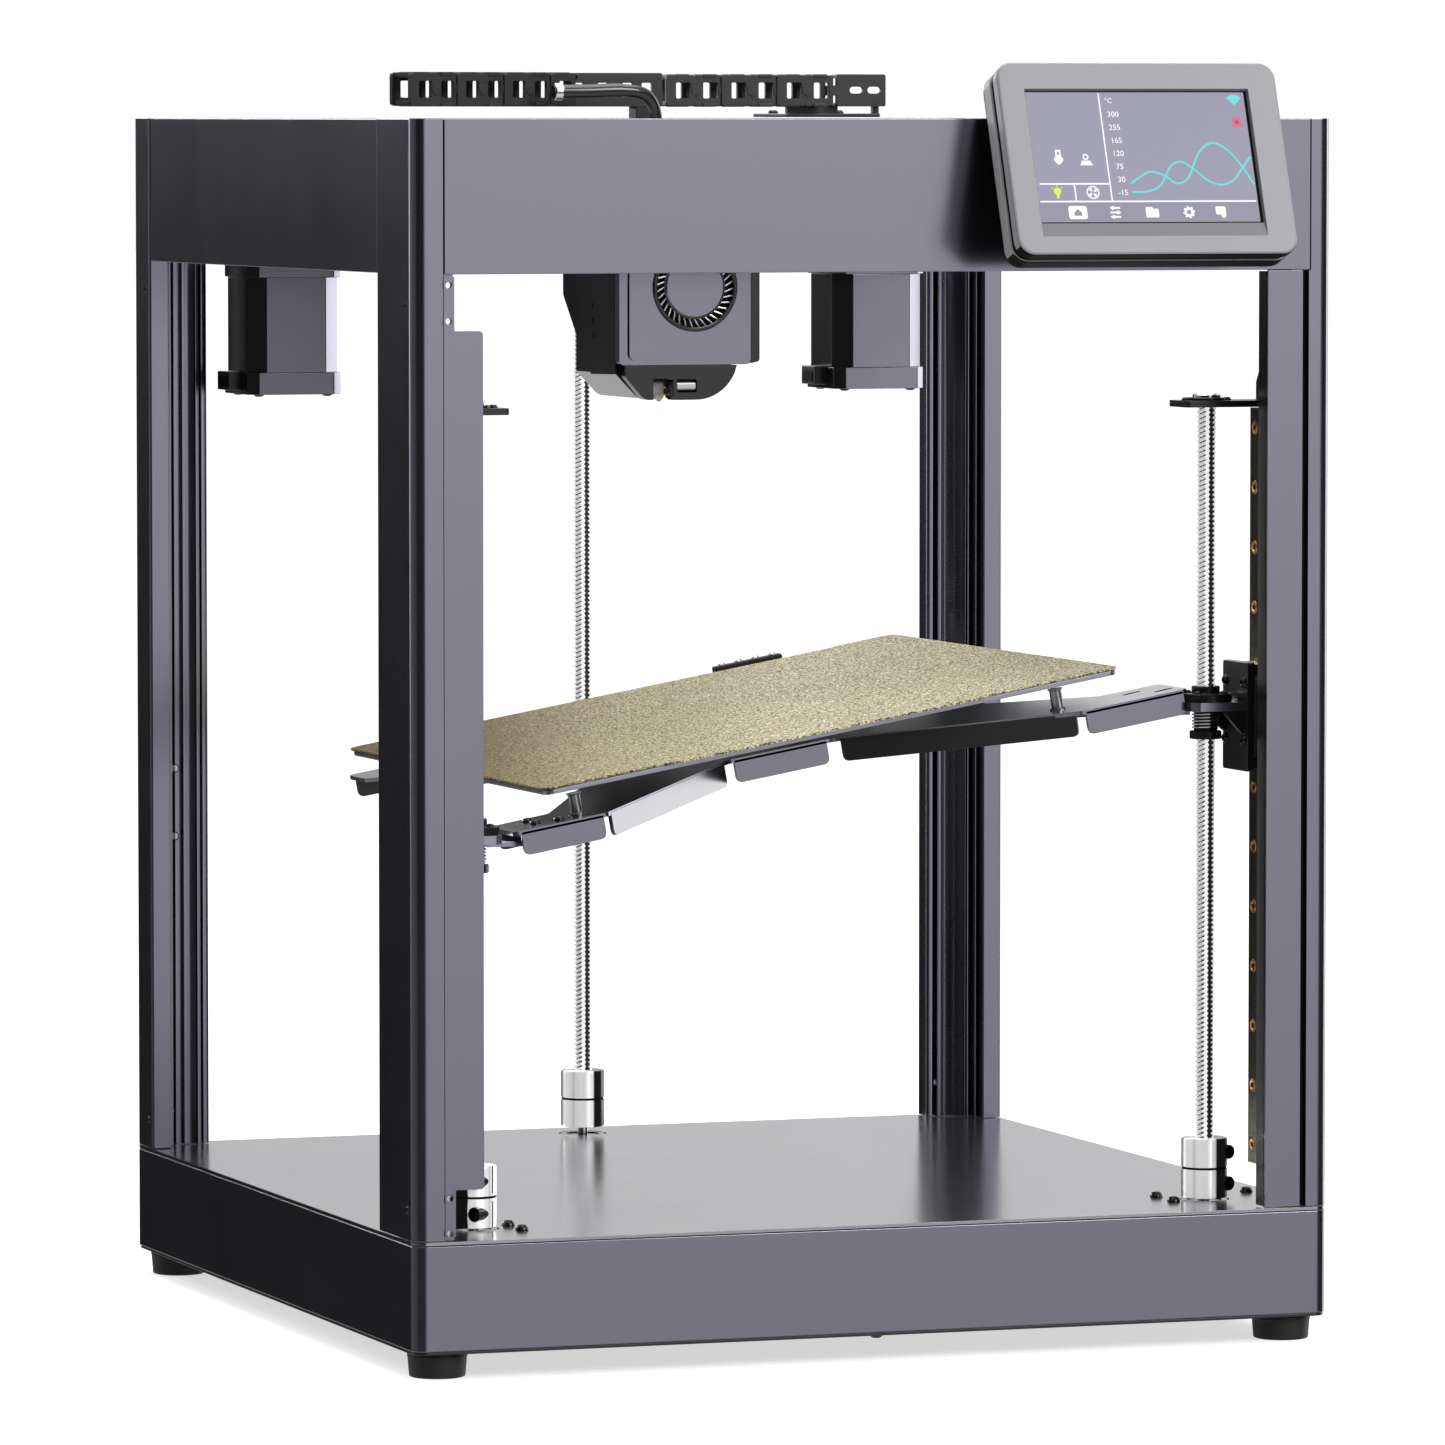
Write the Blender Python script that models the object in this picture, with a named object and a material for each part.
"""Filament printer with an open box frame, a three-screw tilting bed and a
gantry toolhead.

Model frame: metres, +Z up, floor at z = 0, front towards -Y, left towards -X.
All dimensions are millimetres in the design datum: x = 0 and y = 0 at the
middle of the footprint, z = 0 is DATUM_Z above the floor.  to_model() turns a
design point into the model frame, whose origin is the middle of the underside
of the overall box.
"""

import math

import bmesh
import bpy
from mathutils import Matrix, Vector

# ------------------------------------------------------- shared dimensions
MM = 0.001               # metres in a millimetre
DATUM_Z = 1.8            # design datum above the floor
DATUM_Y = 22.8           # centres the overall box, screen included
HALF_W = 198.7           # half width of the frame
HALF_D = 200.1           # half depth of the frame
CORNER_R = 5.75          # rounding of the vertical corners
CORNER_STEPS = 5
GAP = 0.3                # clearance between neighbouring pieces

Z_BASE = (8.5, 52.5)     # underside and rim of the base tray
Z_DECK = (52.8, 54.1)    # deck plate
Z_TOP = 503.5            # top of the frame
Z_BAND = (441.5, Z_TOP)  # upper panels

SCREW_R = 4.0            # lead screws
BORE_R = SCREW_R + GAP
# tag: x, y, underside of the coupler, top of the screw
SCREWS = {
    "left": (-160.2, -158.0, 55.0, 388.0),
    "right": (160.2, -158.0, 55.0, 388.0),
    "rear": (0.0, 175.5, 57.4, 442.6),
}
MOTOR_HALF = 21.15       # half width of every motor
SIDES = ((-1, "left"), (1, "right"))

# ------------------------------------------------------------------- scene
for old in list(bpy.data.objects):
    bpy.data.objects.remove(old, do_unlink=True)

PARTS = bpy.data.collections.new("fdm_printer")
CUTTERS = bpy.data.collections.new("cutters")
bpy.context.scene.collection.children.link(PARTS)
bpy.context.scene.collection.children.link(CUTTERS)


def material(name, color, roughness, metallic=0.0):
    mat = bpy.data.materials.new(name)
    mat.use_nodes = True
    shader = mat.node_tree.nodes["Principled BSDF"]
    shader.inputs["Base Color"].default_value = (*color, 1.0)
    shader.inputs["Roughness"].default_value = roughness
    shader.inputs["Metallic"].default_value = metallic
    return mat


GREY = material("frame_grey", color=(0.235, 0.235, 0.275), roughness=0.34, metallic=0.55)
DECK = material("deck_grey", color=(0.30, 0.30, 0.32), roughness=0.18, metallic=0.6)
BLACK = material("black_metal", color=(0.02, 0.02, 0.022), roughness=0.4, metallic=0.3)
PLASTIC = material("black_plastic", color=(0.03, 0.03, 0.032), roughness=0.45)
ALU = material("bright_aluminium", color=(0.83, 0.84, 0.86), roughness=0.22, metallic=1.0)
STEEL = material("screw_steel", color=(0.70, 0.70, 0.72), roughness=0.25, metallic=1.0)
RAIL = material("rail_steel", color=(0.16, 0.15, 0.12), roughness=0.3, metallic=1.0)
RUBBER = material("rubber", color=(0.018, 0.018, 0.018), roughness=0.7)
GOLD = material("sheet_gold", color=(0.55, 0.47, 0.27), roughness=0.7, metallic=0.2)
BEZEL = material("bezel_grey", color=(0.10, 0.10, 0.115), roughness=0.4)
GLASS = material("display_glass", color=(0.16, 0.17, 0.22), roughness=0.08)
BOARD = material("circuit_board", color=(0.02, 0.16, 0.09), roughness=0.5)


# ----------------------------------------------------------------- builders
# Spans are (low, high) pairs.  A shape built without a material is a hidden
# helper, there only to be cut from or united with a visible piece.
def to_model(x, y, z):
    return Vector((x * MM, (y + DATUM_Y) * MM, (z + DATUM_Z) * MM))


def publish(name, mesh, mat):
    piece = bpy.data.objects.new(name, mesh)
    if mat is None:
        CUTTERS.objects.link(piece)
        piece.hide_render = True
        piece.display_type = "WIRE"
    else:
        mesh.materials.append(mat)
        PARTS.objects.link(piece)
    return piece


def write_mesh(bm, mesh):
    bmesh.ops.recalc_face_normals(bm, faces=bm.faces)
    bm.to_mesh(mesh)
    bm.free()
    return mesh


def box(name, span_x, span_y, span_z, mat=None):
    spans = (span_x, span_y, span_z)
    centre = to_model(*((low + high) / 2 for low, high in spans))
    size = Matrix.Diagonal((*((high - low) * MM for low, high in spans), 1.0))
    bm = bmesh.new()
    bmesh.ops.create_cube(bm, size=1.0, matrix=Matrix.Translation(centre) @ size)
    return publish(name, write_mesh(bm, bpy.data.meshes.new(name)), mat)


def rod(name, radius, start, end, segments, mat=None, end_radius=None):
    foot, head = to_model(*start), to_model(*end)
    axis = head - foot
    turn = axis.to_track_quat("Z", "Y").to_matrix().to_4x4()
    bm = bmesh.new()
    bmesh.ops.create_cone(
        bm, cap_ends=True, cap_tris=False, segments=segments, radius1=radius * MM,
        radius2=(radius if end_radius is None else end_radius) * MM, depth=axis.length,
        matrix=Matrix.Translation((foot + head) / 2) @ turn)
    return publish(name, write_mesh(bm, bpy.data.meshes.new(name)), mat)


def upright(name, radius, centre, span_z, segments, mat=None, top_radius=None):
    """A vertical rod; centre is (x, y)."""
    return rod(name, radius, (*centre, span_z[0]), (*centre, span_z[1]), segments, mat, top_radius)


def plate(name, outlines, depth, placement, mat=None):
    """A closed plate from a flat outline followed by its holes, as a filled 2D curve."""
    curve = bpy.data.curves.new(name + "_outline", "CURVE")
    curve.dimensions = "2D"
    curve.fill_mode = "BOTH"
    curve.extrude = depth * MM / 2
    for outline in outlines:
        spline = curve.splines.new("POLY")
        spline.points.add(len(outline) - 1)
        for point, (across, along) in zip(spline.points, outline):
            point.co = (across * MM, along * MM, 0.0, 1.0)
        spline.use_cyclic_u = True
    carrier = bpy.data.objects.new(name + "_tmp", curve)
    bpy.context.scene.collection.objects.link(carrier)
    bpy.context.view_layer.update()
    evaluated = carrier.evaluated_get(bpy.context.evaluated_depsgraph_get())
    mesh = bpy.data.meshes.new_from_object(evaluated)
    mesh.transform(placement)
    bpy.data.objects.remove(carrier, do_unlink=True)
    # the curve's faces and walls come apart, so weld them
    bm = bmesh.new()
    bm.from_mesh(mesh)
    bmesh.ops.remove_doubles(bm, verts=bm.verts, dist=1e-6)
    return publish(name, write_mesh(bm, mesh), mat)


STAND_XZ = Matrix.Rotation(math.radians(90), 4, "X")
# local x -> world y, local y -> world z
STAND_YZ = Matrix(((0, 0, 1, 0), (1, 0, 0, 0), (0, 1, 0, 0), (0, 0, 0, 1)))


def plate_xy(name, outlines, span_z, mat=None):
    low, high = span_z
    placement = Matrix.Translation(to_model(0, 0, (low + high) / 2))
    return plate(name, outlines, high - low, placement, mat)


def plate_xz(name, outlines, span_y, mat=None):
    low, high = span_y
    placement = Matrix.Translation(to_model(0, (low + high) / 2, 0)) @ STAND_XZ
    return plate(name, outlines, high - low, placement, mat)


def plate_yz(name, outlines, span_x, mat=None):
    low, high = span_x
    placement = Matrix.Translation(to_model((low + high) / 2, 0, 0)) @ STAND_YZ
    return plate(name, outlines, high - low, placement, mat)


def combine(piece, tools, label, operation):
    for tool in tools:
        modifier = piece.modifiers.new(label, "BOOLEAN")
        modifier.operation = operation
        modifier.solver = "EXACT"
        modifier.object = tool


def cut(piece, *tools):
    combine(piece, tools, "cut", "DIFFERENCE")


def unite(piece, *tools):
    combine(piece, tools, "unite", "UNION")


def arc(x, y, radius, start, end, steps):
    angles = [math.radians(start + (end - start) * i / steps) for i in range(steps + 1)]
    return [(x + radius * math.cos(angle), y + radius * math.sin(angle)) for angle in angles]


def ring(x, y, radius, count):
    angles = [2 * math.pi * i / count for i in range(count)]
    return [(x + radius * math.cos(angle), y + radius * math.sin(angle)) for angle in angles]


def rounded_rect(span_x, span_y, radius, steps):
    left, right = span_x[0] + radius, span_x[1] - radius
    low, high = span_y[0] + radius, span_y[1] - radius
    return (arc(right, high, radius, 0, 90, steps) + arc(left, high, radius, 90, 180, steps)
            + arc(left, low, radius, 180, 270, steps) + arc(right, low, radius, 270, 360, steps))


def around(centre, half):
    return (centre - half, centre + half)


def inset(span, margin):
    return (span[0] + margin, span[1] - margin)


def shift(span, offset):
    return (span[0] + offset, span[1] + offset)


def mirror(side, span):
    """The span on the right (side 1) or its mirror image on the left (side -1)."""
    return tuple(sorted((side * span[0], side * span[1])))


def mirror_points(side, points):
    return [(side * x, y) for x, y in points]


def on_axis(piece, x, y, z):
    """Put the object's origin on its joint's axis without moving its shape."""
    origin = to_model(x, y, z)
    piece.data.transform(Matrix.Translation(-origin))
    piece.location = origin


def smooth(piece):
    piece.data.shade_smooth()
    piece.data.set_sharp_from_angle(angle=math.radians(35))


# ------------------------------------------------------------------ base
TRAY_WALL = 1.5
FOOTPRINT = rounded_rect((-HALF_W, HALF_W), (-HALF_D, HALF_D), CORNER_R, CORNER_STEPS)
DECK_HOLE_R = 10.6
INLET_X = (-150.0, -102.0)   # opening for the power inlet, in the rear wall
INLET_Z = (17.0, 45.0)
FOOT_CENTRE = 184            # from both centre planes
FOOT_R = (11.4, 12.2)        # at the floor and at the tray

base = plate_xy("base_shell", [FOOTPRINT], Z_BASE, GREY)
hollow = rounded_rect(around(0, HALF_W - TRAY_WALL), around(0, HALF_D - TRAY_WALL),
                      CORNER_R - TRAY_WALL, CORNER_STEPS)
cut(base,
    plate_xy("base_hollow", [hollow], (Z_BASE[0] + TRAY_WALL, Z_BASE[1] + 10)),
    box("inlet_opening", INLET_X, around(HALF_D, 5), INLET_Z))

deck_holes = [ring(x, y, DECK_HOLE_R, 24) for x, y, _, _ in SCREWS.values()]
plate_xy("deck_plate", [FOOTPRINT] + deck_holes, Z_DECK, DECK)

for tag, side_x, side_y in (("fl", -1, -1), ("fr", 1, -1), ("bl", -1, 1), ("br", 1, 1)):
    smooth(upright("foot_" + tag, FOOT_R[0], (side_x * FOOT_CENTRE, side_y * FOOT_CENTRE),
                   (-DATUM_Z, Z_BASE[0] - GAP), 24, RUBBER, top_radius=FOOT_R[1]))

# ------------------------------------------------------------------ posts
POST_Z = (Z_DECK[1] + GAP, Z_TOP)
FRONT_Y = (-HALF_D, -HALF_D + 2.1)   # cover strips and front panel
SETBACK_Y = -HALF_D + 2.4            # inner legs of the front posts, behind the covers
FRONT_POST_END_Y = -153.7            # rear edge of the front posts
REAR_POST_END_X = 166.0              # inner edge of the rear posts
FRONT_PANEL_X = (-185.4, 188.8)


def front_post(name, side, edge):
    """Corner profile with its full-depth front face starting at |x| = edge."""
    points = ([(181.0, SETBACK_Y), (edge, SETBACK_Y), (edge, -HALF_D)]
              + arc(HALF_W - CORNER_R, -HALF_D + CORNER_R, CORNER_R, 270, 360, CORNER_STEPS)
              + [(HALF_W, FRONT_POST_END_Y), (189.0, FRONT_POST_END_Y),
                 (189.0, -189.5), (181.0, -189.5)])
    return plate_xy(name, [mirror_points(side, points)], POST_Z, GREY)


def rear_post(name, side):
    """Corner profile with a slot and steps on its inner side."""
    points = (arc(HALF_W - CORNER_R, HALF_D - CORNER_R, CORNER_R, 0, 90, CORNER_STEPS)
              + [(REAR_POST_END_X, HALF_D), (REAR_POST_END_X, 187.5),
                 (170.5, 187.5), (170.5, 192.5), (173.5, 192.5), (173.5, 187.5),
                 (178.0, 187.5), (178.0, 182.0), (183.0, 182.0), (183.0, 178.0),
                 (185.4, 178.0), (185.4, 174.4), (HALF_W, 174.4)])
    plate_xy(name, [mirror_points(side, points)], POST_Z, GREY)


front_post("post_front_left", -1, edge=185.7)
cut(front_post("post_front_right", 1, edge=188.0),
    box("panel_seat", (180.0, FRONT_PANEL_X[1] + GAP), (-HALF_D - 2, SETBACK_Y),
        (Z_BAND[0] - GAP, Z_TOP + 2)))
for side, tag in SIDES:
    rear_post("post_rear_" + tag, side)

# front cover strips, in front of the inner legs of the posts; points are (x, z)
LEFT_COVER = [
    (-185.4, 56.0), (-181.2, 56.0), (-181.2, 73.0), (-179.0, 75.2), (-169.2, 75.2),
    (-169.2, 416.5), (-171.5, 418.9), (-181.2, 418.9), (-181.2, 440.8), (-185.4, 440.8),
]
RIGHT_COVER = [(170.0, 54.6), (185.5, 54.6), (185.5, 441.1), (170.0, 441.1)]
plate_xz("post_cover_left", [LEFT_COVER], FRONT_Y, GREY)
unite(plate_xz("post_cover_right", [RIGHT_COVER], FRONT_Y, GREY),
      box("cover_return", (170.2, 171.7), (-HALF_D + 0.4, -190.0), (54.9, 440.8)))

# --------------------------------------------------------------- top panels
PANEL = 1.6                                          # side and rear panel thickness
LIP_INSET = 0.4                                      # lip ends, from the panel ends
LIP_Z = (Z_BAND[0] + 0.2, Z_BAND[0] + 1.6)
SIDE_PANEL_Y = (FRONT_POST_END_Y + GAP, 171.9)
REAR_PANEL_X = around(0, REAR_POST_END_X - GAP)

unite(box("top_panel_front", FRONT_PANEL_X, FRONT_Y, Z_BAND, GREY),
      box("front_lip", (-180.6, 180.6), (-HALF_D + 0.6, -190.5),
          (Z_BAND[0] + 0.1, Z_BAND[0] + 1.6)))
for side, tag in SIDES:
    unite(box("top_panel_" + tag, mirror(side, (HALF_W - PANEL, HALF_W)),
              SIDE_PANEL_Y, Z_BAND, GREY),
          box("side_lip_" + tag, mirror(side, (HALF_W - 14.0, HALF_W - 1.0)),
              inset(SIDE_PANEL_Y, LIP_INSET), LIP_Z))
unite(box("top_panel_rear", REAR_PANEL_X, (HALF_D - PANEL, HALF_D), Z_BAND, GREY),
      box("rear_lip", inset(REAR_PANEL_X, LIP_INSET), (HALF_D - 9.4, HALF_D - 1.0), LIP_Z))

# ------------------------------------------------------------------- z axis
Z_RAIL_X = (181.2, 188.7)        # right rail; the left one mirrors it
Z_RAIL_Y = (-165.0, -153.9)
Z_RAIL_Z = (68.5, 383.6)
BRACKET_HOLE_R = SCREW_R + 0.35
BRACKET_CORNER_R = 2.0
REAR_BRACKET_X = (-13.0, 13.0)
REAR_BRACKET_END_Y = HALF_D - 12.3
COUPLER_R = 9.6
COUPLER_LENGTH = 25.0


def z_motor(tag, x, y, coupler_z):
    name = "z_motor_" + tag
    outline = rounded_rect(around(x, MOTOR_HALF), around(y, MOTOR_HALF), 4.5, 1)
    unite(plate_xy(name, [outline], (12.5, 52.4), BLACK),
          upright(name + "_pilot", 10.0, (x, y), (50, 53.9), 24),
          upright(name + "_shaft", 2.5, (x, y), (50, coupler_z + 2.0), 12))


def lead_screw(tag, x, y, coupler_z, top):
    screw = upright("lead_screw_" + tag, SCREW_R, (x, y), (coupler_z + 2.3, top), 20, STEEL)
    smooth(screw)
    on_axis(screw, x, y, coupler_z)


def coupler(tag, x, y, z):
    name = "coupler_" + tag
    sleeve = upright(name, COUPLER_R, (x, y), (z, z + COUPLER_LENGTH), 32, ALU)
    on_axis(sleeve, x, y, z)
    cut(sleeve, upright(name + "_bore", BORE_R, (x, y), (z - 5, z + 35), 20))
    smooth(sleeve)


def screw_bracket(tag, side):
    """Side bracket over the rail and screw, with an upright ear at its outer end."""
    name = "screw_bracket_" + tag
    x, y = SCREWS[tag][:2]
    outer = Z_RAIL_X[1]
    outline = rounded_rect(mirror(side, (147.0, outer)), (-168.0, -147.5), BRACKET_CORNER_R, 2)
    ear = [(-166.0, 386.0), (-150.0, 386.0), (-150.0, 394.5),
           (-153.5, 398.6), (-162.5, 398.6), (-166.0, 394.5)]
    unite(plate_xy(name, [outline, ring(x, y, BRACKET_HOLE_R, 20)], (384.2, 387.0), BLACK),
          plate_yz(name + "_ear", [ear], mirror(side, (184.6, outer))))


def rear_screw_bracket():
    x, y = SCREWS["rear"][:2]
    outline = rounded_rect(REAR_BRACKET_X, (165.0, REAR_BRACKET_END_Y), BRACKET_CORNER_R, 2)
    hole = ring(x, y, BRACKET_HOLE_R, 20)
    unite(plate_xy("screw_bracket_rear", [outline, hole], (437.8, 441.2), BLACK),
          box("rear_bracket_web", REAR_BRACKET_X, (HALF_D - 13.8, REAR_BRACKET_END_Y),
              (438.2, 452.0)))


for tag, (x, y, coupler_z, screw_top) in SCREWS.items():
    z_motor(tag, x, y, coupler_z)
    lead_screw(tag, x, y, coupler_z, screw_top)
    coupler(tag, x, y, coupler_z)
for side, tag in SIDES:
    box("z_rail_" + tag, mirror(side, Z_RAIL_X), Z_RAIL_Y, Z_RAIL_Z, RAIL)
    screw_bracket(tag, side)
rear_screw_bracket()

# ------------------------------------------------------- nuts and carriages
NUT_Z = {"left": 198.9, "right": 246.3, "rear": 222.0}   # underside of each nut
NUT_R = 5.0
NUT_LENGTH = 22.0
YOKE_Z = (228.0, 231.2)
STUD_X = 133.0                   # bed studs, from the centre plane


def nut(tag):
    name = "nut_" + tag
    centre, z = SCREWS[tag][:2], NUT_Z[tag]
    body = upright(name, NUT_R, centre, (z, z + NUT_LENGTH), 20, PLASTIC)
    unite(body, upright(name + "_flange", 6.7, centre, (z, z + 3.4), 20))
    cut(body, upright(name + "_thread", BORE_R, centre, (z - 4, z + NUT_LENGTH + 6), 20))
    smooth(body)
    return body


def add_rear_yoke(rear_nut):
    """Tongue from the rear nut towards the bed, with an upright pin near its front end."""
    centre = SCREWS["rear"][:2]
    tongue = [(-10.0, 147.0), (10.0, 147.0), (10.0, 170.2), (-10.0, 170.2)]
    unite(rear_nut,
          plate_xy("rear_nut_yoke", [tongue], YOKE_Z),
          upright("rear_nut_collar", 8.5, centre, YOKE_Z, 20),
          upright("rear_nut_ball", 2.6, (0, 152.0), (230.0, 237.9), 12))
    cut(rear_nut, upright("rear_nut_bore", BORE_R, centre, (215, 255), 20))


def carriage(tag, side):
    """Block on the rail, face plate, arm and bed stud.

    Spans are those of the right carriage; the left one is mirrored and lowered.
    """
    name = "carriage_" + tag
    lift = NUT_Z[tag] - NUT_Z["right"]

    def block(suffix, span_x, span_y, span_z, mat=None):
        return box(name + suffix, mirror(side, span_x), span_y, shift(span_z, lift), mat)

    body = block("", (176.2, 187.6), (-172.5, -145.5), (234.0, 277.6), BLACK)
    cut(body, block("_groove", (Z_RAIL_X[0] - GAP, 190.0), inset(Z_RAIL_Y, -GAP), (225.0, 290.0)))
    gusset = [(164.5, 256.6 + lift), (173.4, 256.6 + lift), (173.4, 248.0 + lift)]
    unite(body,
          block("_face", (173.0, 176.6), (-172.5, -145.5), (233.0, 278.4)),
          block("_arm", (154.6, 173.6), (-169.0, -147.0), (256.2, 265.4)),
          block("_tongue", (127.5, 155.0), (-155.5, -136.5), (256.2, 258.4)),
          upright(name + "_stud", 2.6, (side * STUD_X, -146.0), shift((257.5, 261.7), lift), 12),
          plate_xz(name + "_gusset", [mirror_points(side, gusset)], (-163.0, -159.0)))
    cut(body, upright(name + "_nut_hole", NUT_R + GAP, SCREWS[tag][:2],
                      shift((240, 275), lift), 20))


for side, tag in SIDES:
    nut(tag)
    carriage(tag, side)
add_rear_yoke(nut("rear"))

# -------------------------------------------------------------------- bed
# Heights are measured along the bed's normal from the top of the build sheet.
# Outlines are (distance along the tilted width, design y).
BED_CENTRE = (1.5, -9.0, 253.6)  # middle of the top of the build sheet
BED_ROLL = math.radians(10.11)   # at rest, right side up
HINGE_Z = 238.9                  # bed roll axis
BED_FRAME = Matrix.Translation(to_model(*BED_CENTRE)) @ Matrix.Rotation(-BED_ROLL, 4, "Y")
SHEET = (-0.9, 0.0)
HEATER = (-3.1, SHEET[0] - GAP)
SUPPORT_TOP = -12.5
FLANGE = (SUPPORT_TOP - 10.4, SUPPORT_TOP - 0.4)
FLANGE_THICKNESS = 1.6

SHEET_OUTLINE = [
    (-128, -143), (-75, -143), (-70, -147), (66, -147), (71, -143), (128, -143), (128, 122),
    (125, 125), (100, 125), (97, 122.5), (-97, 122.5), (-100, 125), (-125, 125), (-128, 122),
]
SUPPORT_OUTLINE = [
    (-150, -161), (-109, -161), (-27, -80), (20, -80), (101, -161), (150, -161), (150, -129),
    (123, -127), (60, -20), (60, 40), (118, 108), (118, 132), (88, 132), (30, 70), (16, 158),
    (-16, 158), (-30, 70), (-98, 132), (-128, 132), (-128, 108), (-60, 40), (-60, -20),
    (-123, -127), (-150, -129),
]
# start and end of each bent-down flange; its thickness goes to the left of that run
FRONT_FLANGES = [
    ((-146.0, -161), (-111, -161)), ((-106, -158.2), (-30, -83.2)), ((-25, -80), (18, -80)),
    ((23, -83.2), (99, -158.2)), ((104, -161), (147.5, -161)),
]
BACK_FLANGES = [
    ((147, -129.2), (125, -127.4)), ((-125, -127.4), (-147, -129.2)),
    ((115, 132), (90, 132)), ((-100, 132), (-125, 132)),
]
STANDOFFS = [(-117, -146), (99, -141), (104, 112), (-112, 112)]


def bed_plate(name, outlines, heights, mat=None):
    low, high = heights
    centred = [[(x, y - BED_CENTRE[1]) for x, y in outline] for outline in outlines]
    placement = Matrix.Translation((0, 0, (low + high) * MM / 2))
    piece = plate(name, centred, high - low, placement, mat)
    piece.data.transform(BED_FRAME)
    on_axis(piece, 0, BED_CENTRE[1], HINGE_Z)
    return piece


def bed_flange(name, start, end):
    run_x, run_y = end[0] - start[0], end[1] - start[1]
    length = math.hypot(run_x, run_y)
    step_x = -run_y / length * FLANGE_THICKNESS
    step_y = run_x / length * FLANGE_THICKNESS
    outline = [start, end, (end[0] + step_x, end[1] + step_y),
               (start[0] + step_x, start[1] + step_y)]
    return bed_plate(name, [outline], FLANGE)


bed_plate("build_sheet", [SHEET_OUTLINE], SHEET, GOLD)
bed_plate("heated_plate", [rounded_rect((-127.5, 127.5), (-142.6, 121.8), 3.0, 2)], HEATER, GREY)
support = bed_plate("bed_support", [SUPPORT_OUTLINE, rounded_rect((-28, 28), (-35, 25), 6, 2)],
                    (SUPPORT_TOP - 1.8, SUPPORT_TOP), BLACK)
for prefix, flanges in (("flange_front_", FRONT_FLANGES), ("flange_back_", BACK_FLANGES)):
    for i, (start, end) in enumerate(flanges):
        unite(support, bed_flange(prefix + str(i), start, end))
for i, (x, y) in enumerate(STANDOFFS):
    unite(support, bed_plate("standoff_%d" % i, [ring(x, y, 4.0, 12)],
                             (SUPPORT_TOP - 1.0, HEATER[0] - GAP)))

# --------------------------------------------------------------- upper axes
XY_MOTORS = {"left": (-140.0, 169.0), "right": (131.0, 169.0)}
SIDE_RAIL_X = (178.0, 190.0)     # right rail; the left one mirrors it
SIDE_RAIL_Z = (445.0, 453.2)
PULLEY_R = 14.0                  # rims of the pulley
BELT_X = 164.6
BELT_OUTER_R = 5.2
BELT_INNER_R = 4.2


def side_beam(tag, side):
    """Plate along the side with a motor tab at the rear, and the gantry's rail on top."""
    name = "side_beam_" + tag
    motor_x, motor_y = XY_MOTORS[tag]
    outer, inner = side * 196.8, side * 163.0
    tab_x = motor_x - side * 23.0
    outline = [(outer, -152.5), (inner, -152.5), (inner, 146.0), (tab_x, 146.0), (tab_x, 190.4),
               (side * 165.5, 190.4), (side * 165.5, 172.8), (outer, 172.8)]
    unite(plate_xy(name, [outline, ring(motor_x, motor_y, 11.6, 24)], (443.5, 445.6), GREY),
          box(name + "_rail", mirror(side, SIDE_RAIL_X), (-148.0, 171.8), SIDE_RAIL_Z))


def xy_motor(tag):
    name = "xy_motor_" + tag
    x, y = XY_MOTORS[tag]
    cap_half = MOTOR_HALF + 0.05
    can = rounded_rect(around(x, MOTOR_HALF), around(y, MOTOR_HALF), 7.4, 1)
    cap = rounded_rect(around(x, cap_half), around(y, cap_half), 4.2, 1)
    unite(plate_xy(name, [can], (384.0, 437.0), BLACK),
          plate_xy(name + "_cap", [cap], (383.6, 393.0)),
          plate_xy(name + "_flange", [cap], (434.0, 443.2)),
          upright(name + "_pilot", 11.0, (x, y), (442.0, 445.0), 24),
          upright(name + "_shaft", 2.5, (x, y), (444.0, 446.1), 12),
          box(name + "_plug", (x - MOTOR_HALF - 6.0, x - MOTOR_HALF + 2.0), around(y, 8.0),
              (385.5, 393.4)))


def pulley(tag):
    name, centre = "pulley_" + tag, XY_MOTORS[tag]
    rim = upright(name, PULLEY_R, centre, (446.4, 447.6), 36, ALU)
    unite(rim,
          upright(name + "_teeth", 12.4, centre, (447.0, 454.6), 36),
          upright(name + "_cap", PULLEY_R, centre, (454.2, 455.4), 36))
    smooth(rim)


def belt_loop(x, radius):
    return arc(x, 140, radius, 0, 180, 6) + arc(x, -170, radius, 180, 360, 6)


def gantry():
    """Cross beam with an end piece and a grooved block on each side rail."""
    beam = box("gantry_beam", (-170.0, 170.0), (42.0, 62.0), (457.4, 477.4), ALU)
    for side in (-1, 1):
        suffix = "_%d" % (side + 1)
        unite(beam,
              box("gantry_end" + suffix, mirror(side, (169.0, 197.0)), (30.0, 66.0),
                  (456.6, 478.4)),
              box("gantry_block" + suffix, mirror(side, (170.5, 196.8)), (30.2, 65.8),
                  (446.6, 457.0)))
        cut(beam, box("gantry_groove" + suffix, mirror(side, inset(SIDE_RAIL_X, -GAP)),
                      (20.0, 84.0), (440.0, SIDE_RAIL_Z[1] + GAP)))
    unite(beam, box("gantry_rail", (-160.0, 160.0), (34.5, 42.6), (461.4, 473.4)))


for side, tag in SIDES:
    side_beam(tag, side)
    xy_motor(tag)
    pulley(tag)
    loops = [belt_loop(side * BELT_X, radius) for radius in (BELT_OUTER_R, BELT_INNER_R)]
    plate_xy("belt_" + tag, loops, (448.0, 454.0), RUBBER)
gantry()

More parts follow.
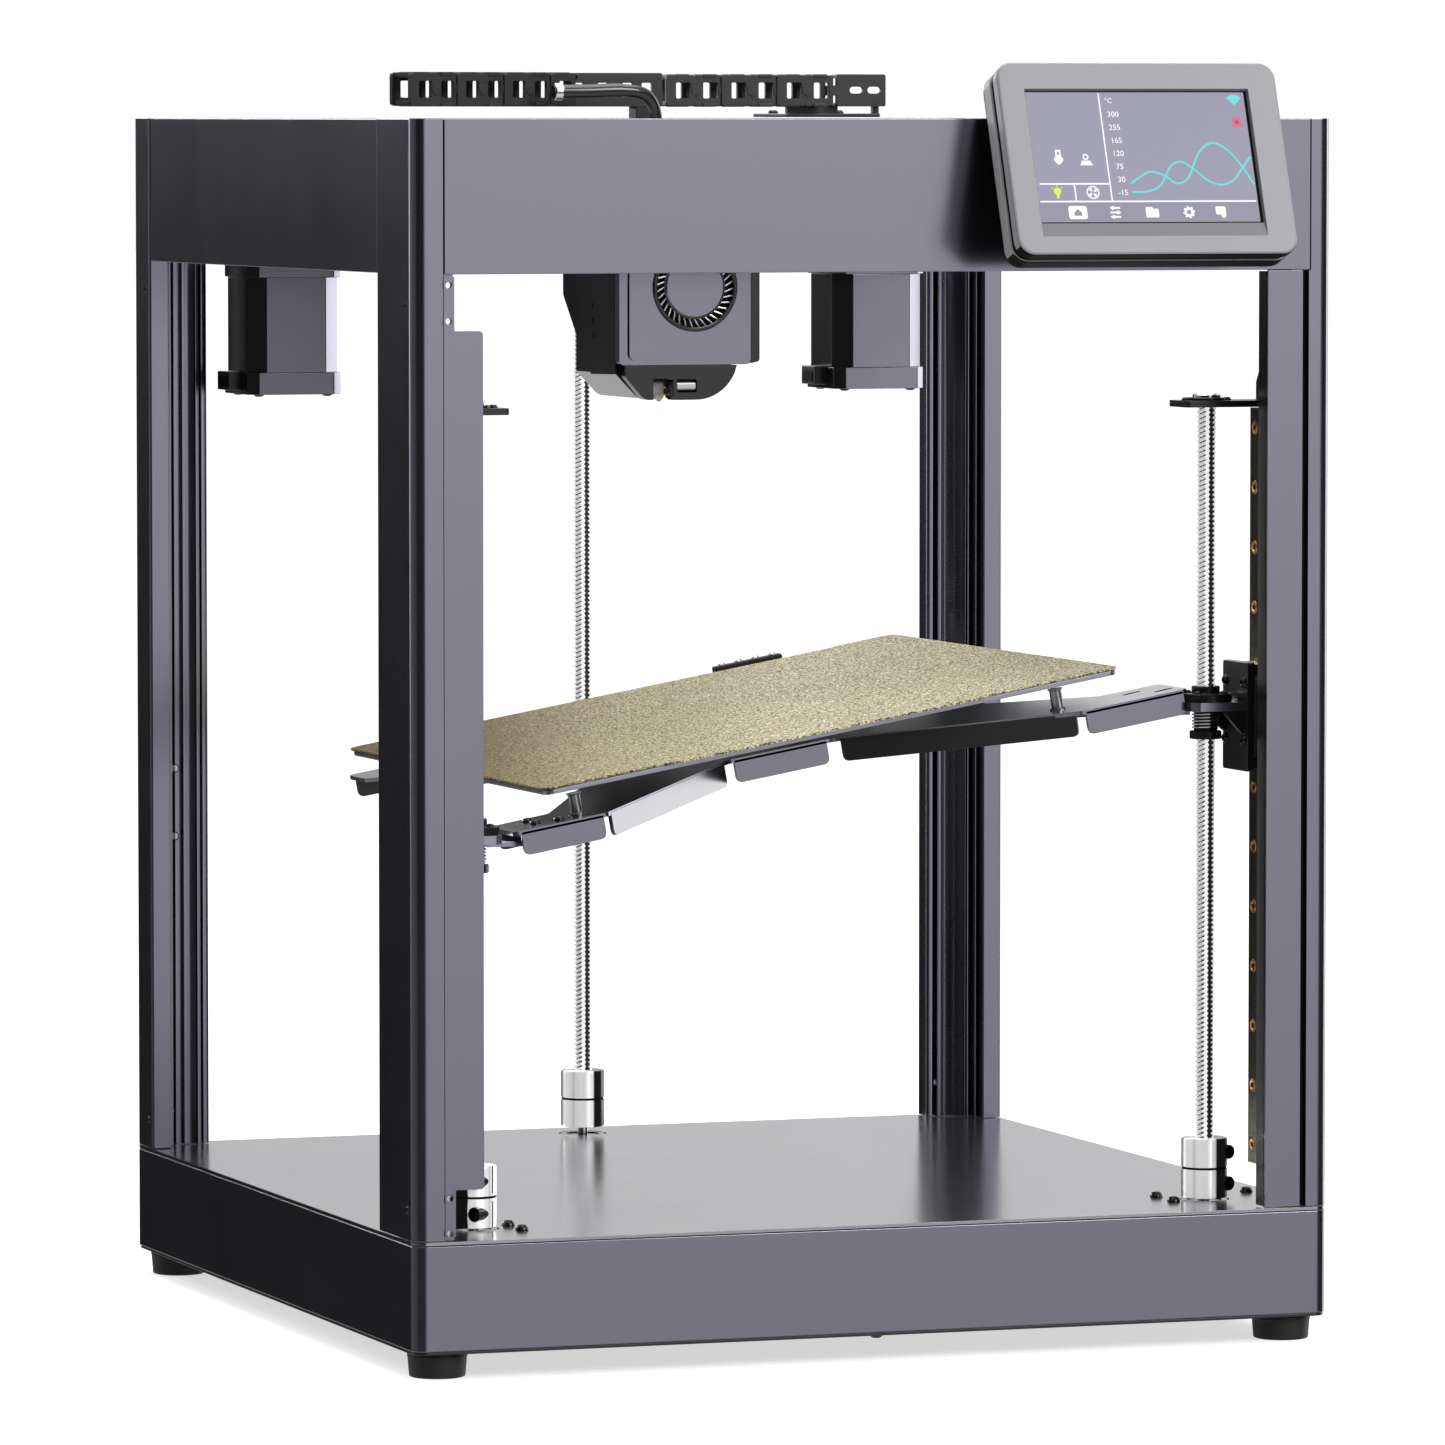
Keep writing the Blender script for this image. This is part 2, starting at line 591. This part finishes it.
# ------------------------------------------------------------------ toolhead
HEAD_X = (-54.5, 8.2)
HEAD_TOP = 484.0
HEAD_FRONT_Y = -35.0
HEAD_WALL = 3.0                  # side walls
FAN_X, FAN_Z, FAN_R = -21.3, 432.8, 17.6
NOZZLE = (-27.0, -5.0, 383.9)    # tip of the nozzle

# (x, z) outlines
HOUSING_OUTLINE = [
    (HEAD_X[0], 396.0), (-44.0, 386.2), (-19.5, 386.2), (-2.5, 399.2), (HEAD_X[1], 400.6),
    (HEAD_X[1], HEAD_TOP), (HEAD_X[0], HEAD_TOP),
]
COVER_OUTLINE = [
    (HEAD_X[0], 400.0), (HEAD_X[1] - 1.5, 400.8), (HEAD_X[1], 402.3), (HEAD_X[1], HEAD_TOP),
    (HEAD_X[0], HEAD_TOP),
]
# (y, z) outlines of the side walls, which share their rear edge
WALL_REAR = [(16.5, 406.4), (40.0, 429.0), (40.0, 452.0), (20.0, 452.0), (20.0, 456.0)]
LEFT_WALL = [(-27.7, 396.2), (4.0, 396.2), (4.0, 406.0), *WALL_REAR, (-27.7, 456.0)]
RIGHT_WALL = [(-27.0, 402.0), (4.0, 402.0), *WALL_REAR, (-27.0, 456.0)]


def head_housing():
    house = plate_xz("head_housing", [HOUSING_OUTLINE], (HEAD_FRONT_Y + 7.3, 24.0), PLASTIC)
    left, right = HEAD_X
    unite(house,
          plate_yz("head_side_left", [LEFT_WALL], (left, left + HEAD_WALL)),
          plate_yz("head_side_right", [RIGHT_WALL], (right - HEAD_WALL, right)))
    cut(house,
        box("hotend_cavity", (-38.0, -16.0), (-24.0, 12.0), (370.0, 402.0)),
        box("nozzle_notch", (-36.0, -29.5), (-40.0, -20.0), (370.0, 393.5)))
    unite(house, box("head_carriage", (-45.5, -0.9), (22.0, 34.2), (454.5, 481.0)))


def fan_rotor():
    """Hub turning about y, with a separate ring around it."""
    rotor = rod("fan_rotor", FAN_R - 6.0, (FAN_X, HEAD_FRONT_Y + 0.6, FAN_Z),
                (FAN_X, HEAD_FRONT_Y + 6.4, FAN_Z), 28, PLASTIC)
    on_axis(rotor, FAN_X, HEAD_FRONT_Y, FAN_Z)
    rings = [ring(FAN_X, FAN_Z, radius, 28) for radius in (FAN_R, FAN_R - 6.6)]
    unite(rotor, plate_xz("fan_ring", rings, shift((3.4, 6.2), HEAD_FRONT_Y)))
    smooth(rotor)


def hotend():
    x, y, z = NOZZLE
    unite(box("hotend", around(x, 8.0), (y - 11.0, y + 12.0), (z + 5.6, z + 15.6), ALU),
          upright("heat_break", 3.0, (x, y), (z + 15.0, 401.6), 12),
          upright("nozzle_hex", 3.6, (x, y), (z + 3.0, z + 6.4), 6),
          upright("nozzle_tip", 0.6, (x, y), (z, z + 3.3), 16, top_radius=2.8))


head_housing()
plate_xz("head_cover", [COVER_OUTLINE, ring(FAN_X, FAN_Z, FAN_R + GAP, 28)],
         (HEAD_FRONT_Y, HEAD_FRONT_Y + 7.0), GREY)
fan_rotor()
hotend()

# --------------------------------------------------------------- cable chain
LINK_COUNT = 7
LINK_PITCH = 12.95
LINK_WIDTH = 6.4
LINK_OVERLAP = 0.8
FIRST_LINK_TAIL = 7.0            # extra length of the first link, into the chain head
CHAIN_START = (-67.0, 2.2)
CHAIN_ANGLE = math.radians(22.8)  # run to the left, turned towards the front


def chain_link(i):
    """One link; every second link is narrower and lower."""
    narrow = i % 2 == 1
    margin = 0.7 if narrow else 0.0
    start = i * LINK_PITCH - (FIRST_LINK_TAIL if i == 0 else 0.0)
    end = (i + 1) * LINK_PITCH + LINK_OVERLAP
    near, far = margin, LINK_WIDTH - margin
    cosine, sine = math.cos(CHAIN_ANGLE), math.sin(CHAIN_ANGLE)
    outline = [(CHAIN_START[0] - along * cosine + (across - LINK_WIDTH) * sine,
                CHAIN_START[1] - along * sine - across * cosine)
               for along, across in ((start, near), (end, near), (end, far), (start, far))]
    return plate_xy("chain_link_%d" % i, [outline], (508.7, 522.5) if narrow else (508.4, 522.8))


unite(box("chain_head", (-67.5, -24.5), (-2.0, 0.6), (508.2, 523.0), PLASTIC),
      box("chain_head_stalk", (-35.0, -27.0), (-2.0, 0.6), (484.3, 509.0)),
      *(chain_link(i) for i in range(LINK_COUNT)))

unite(box("chain_fixed", (29.5, 114.0), (147.0, 158.0), (508.4, 522.8), PLASTIC),
      box("chain_foot", (113.0, 133.2), (155.4, 158.6), (508.2, 523.0)),
      box("chain_stand", (89.0, 132.0), (155.0, 158.4), (504.2, 510.4)),
      box("chain_stand_foot", (88.5, 132.6), (154.5, HALF_D - 2.0), (503.9, 505.6)))

# --------------------------------------------------------------------- screen
# Outlines are (x, up) in the screen's own plane; depths run along its outward normal.
SCREEN_FRAME = (Matrix.Translation(to_model(103.1, -231.5, 487.6))
                @ Matrix.Rotation(-math.radians(20.17), 4, "X"))
SCREEN_X = (-60.3, 61.6)
SCREEN_UP = (-41.3, 41.2)
CASE_OUTLINE = rounded_rect(SCREEN_X, SCREEN_UP, 7.0, 3)
SEAM_OUTLINE = rounded_rect(inset(SCREEN_X, 1.6), inset(SCREEN_UP, 1.6), 6.0, 3)
WINDOW_OUTLINE = rounded_rect((-48.6, 48.6), (-33.0, 29.6), 1.0, 1)
GLASS_OUTLINE = rounded_rect((-48.2, 48.2), (-32.6, 29.2), 0.8, 1)
# (y, z)
MOUNT_OUTLINE = [(-HALF_D - 0.4, 499.0), (-208.0, 499.0), (-226.0, 452.0), (-HALF_D - 0.4, 452.0)]


def screen_plate(name, outline, depths, mat=None):
    low, high = depths
    placement = Matrix.Translation((0, -(low + high) * MM / 2, 0)) @ STAND_XZ
    piece = plate(name, [outline], high - low, placement, mat)
    piece.matrix_world = SCREEN_FRAME
    return piece


cut(screen_plate("screen_bezel", CASE_OUTLINE, (-8.0, 0.0), BEZEL),
    screen_plate("bezel_window", WINDOW_OUTLINE, (-3.4, 5.0)))
screen_plate("screen_glass", GLASS_OUTLINE, (-3.1, -1.0), GLASS)
unite(screen_plate("screen_back", CASE_OUTLINE, (-20.0, -9.6), BEZEL),
      screen_plate("screen_seam", SEAM_OUTLINE, (-10.2, -8.3)),
      plate_yz("screen_mount", [MOUNT_OUTLINE], (72.0, 134.0)))

# --------------------------------------------------------- inside the base
# x span, y span of the blocks on the board, each 2 mm lower than the one before
BOARD_BLOCKS = [
    ((40, 60), (100, 118)), ((70, 100), (100, 118)), ((118, 138), (30, 90)), ((45, 75), (40, 70)),
]
BOARD_LEGS = [(36, 16), (134, 16), (36, 114), (134, 114)]

cut(box("power_supply", (-172.0, -64.0), (20.0, 176.0), (12.0, 42.0), ALU),
    box("psu_bay", (-168.0, -68.0), (160.0, 180.0), (17.0, 60.0)))

board = box("mainboard", (30.0, 140.0), (10.0, 120.0), (16.0, 17.8), BOARD)
for i, (span_x, span_y) in enumerate(BOARD_BLOCKS):
    unite(board, box("board_block_%d" % i, span_x, span_y, (17.0, 29.0 - 2 * i)))
for i, centre in enumerate(BOARD_LEGS):
    unite(board, upright("board_leg_%d" % i, 2.6, centre, (10.3, 17.0), 8))

cut(box("power_inlet", inset(INLET_X, 0.5), (HALF_D - 18.0, HALF_D - 0.2),
        inset(INLET_Z, 0.5), PLASTIC),
    box("socket", (-147.0, -122.0), (HALF_D - 14.0, HALF_D + 4.0), (21.0, 41.0)),
    box("rocker_well", (-119.0, -106.0), (HALF_D - 12.0, HALF_D + 4.0), (20.5, 41.5)))
rocker = box("power_rocker", (-118.4, -106.6), (HALF_D - 7.0, HALF_D - 0.4), (22.6, 39.4), PLASTIC)
on_axis(rocker, -112.5, HALF_D - 6.0, 31.0)
